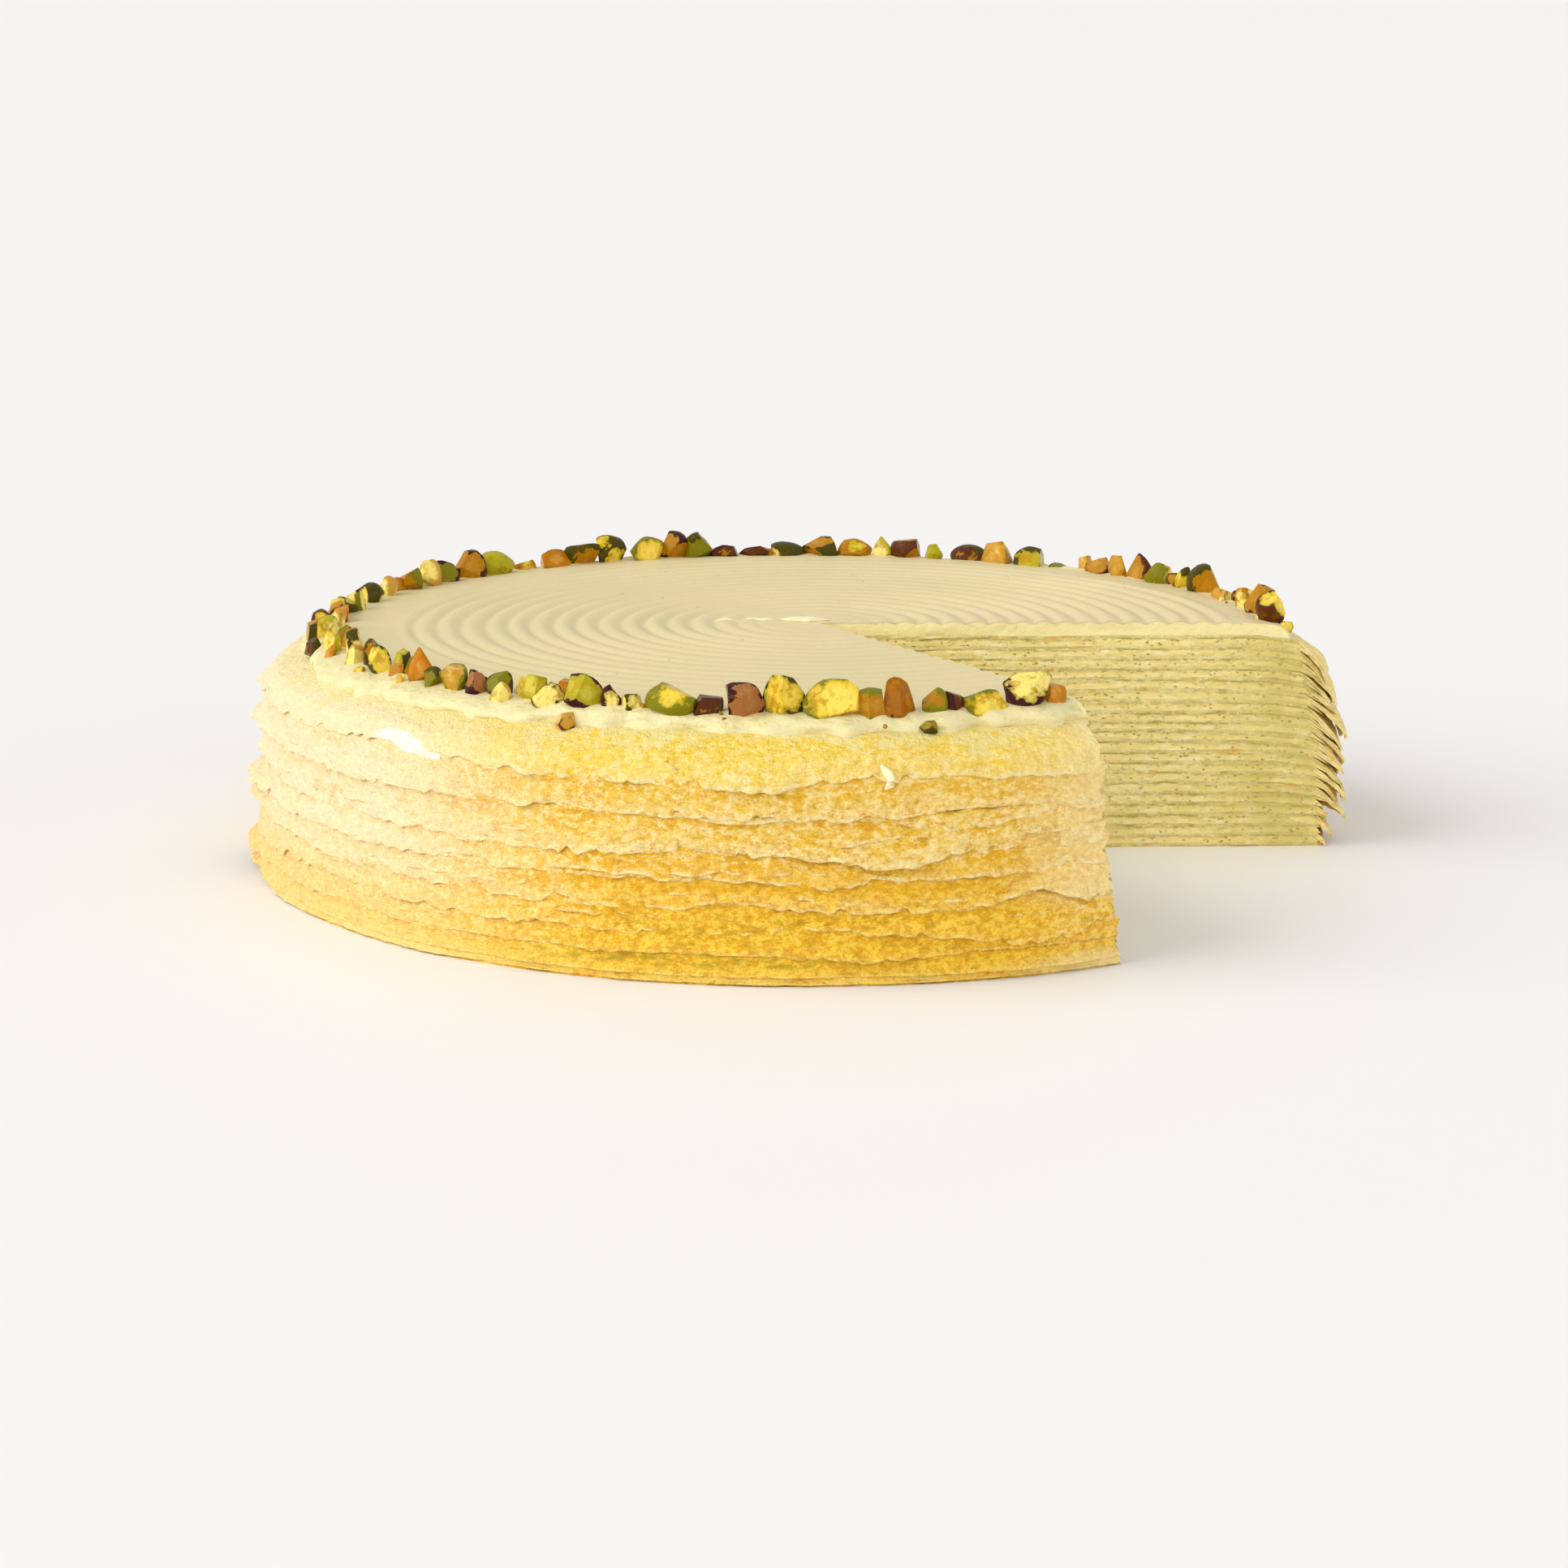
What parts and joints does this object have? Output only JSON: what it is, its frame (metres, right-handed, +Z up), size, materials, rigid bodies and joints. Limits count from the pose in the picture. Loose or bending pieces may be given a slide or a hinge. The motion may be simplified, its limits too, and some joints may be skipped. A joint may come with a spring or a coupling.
{
  "type": "crepe cake",
  "caption": "Round layered crepe cake with one slice removed, cream between thin crepes, a combed cream top and a ring of chopped nuts on the rim.",
  "frame": {"origin": "where the cake's axis meets the surface that it stands on", "axes": "+Z up along the cake's axis; the missing slice opens towards +X and -Y, and its far cut face runs along +X"},
  "size_m": [0.2397, 0.2394, 0.0574],
  "materials": {
    "crepe": "soft golden crepe, spongy and matte",
    "cream": "pale green-yellow cream, soft",
    "top_cream": "pale green-beige whipped cream, soft sheen",
    "nuts": "chopped nut, yellow-green flesh and brown skin"
  },
  "bodies": {
    "root": {"crepe_01": "crepe", "crepe_02": "crepe", "crepe_03": "crepe", "crepe_04": "crepe", "crepe_05": "crepe", "crepe_06": "crepe", "crepe_07": "crepe", "crepe_08": "crepe", "crepe_09": "crepe", "crepe_10": "crepe", "crepe_11": "crepe", "crepe_12": "crepe", "crepe_13": "crepe", "crepe_14": "crepe", "crepe_15": "crepe", "crepe_16": "crepe", "crepe_17": "crepe", "crepe_18": "crepe", "crepe_19": "crepe", "crepe_20": "crepe", "crepe_21": "crepe", "cream_01": "cream", "cream_02": "cream", "cream_03": "cream", "cream_04": "cream", "cream_05": "cream", "cream_06": "cream", "cream_07": "cream", "cream_08": "cream", "cream_09": "cream", "cream_10": "cream", "cream_11": "cream", "cream_12": "cream", "cream_13": "cream", "cream_14": "cream", "cream_15": "cream", "cream_16": "cream", "cream_17": "cream", "cream_18": "cream", "cream_19": "cream", "cream_20": "cream", "top_cream": "top_cream"}
  },
  "joints": []
}
